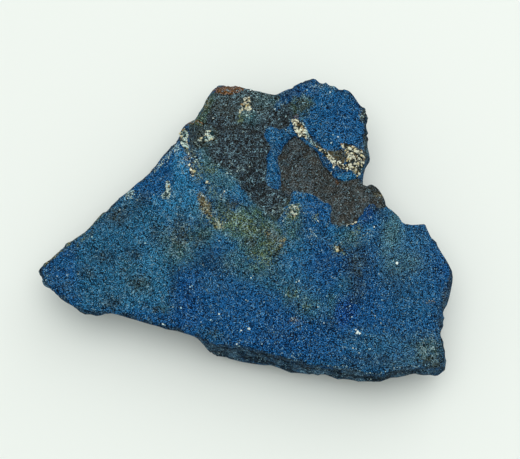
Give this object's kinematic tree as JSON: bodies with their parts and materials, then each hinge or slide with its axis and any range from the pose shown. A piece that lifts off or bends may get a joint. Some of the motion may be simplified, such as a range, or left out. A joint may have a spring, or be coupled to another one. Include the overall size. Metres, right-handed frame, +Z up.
{
  "type": "aerinite specimen",
  "caption": "Natural slab-like rock fragment with a granular blue aerinite crust on its broad upper face, resting on a flat broken underside.",
  "frame": {"origin": "middle of the bounding box in plan, on the surface that the stone rests on", "axes": "+X along the longest side, towards the blunt end; +Y towards the side with two lobes; +Z up, out of the blue face"},
  "size_m": [0.0609, 0.0463, 0.0098],
  "materials": {
    "aerinite_rock": "granular matt blue crust on dark grey-brown rock, with cream, olive and rust patches"
  },
  "bodies": {
    "root": {"aerinite_stone": "aerinite_rock"}
  },
  "joints": []
}
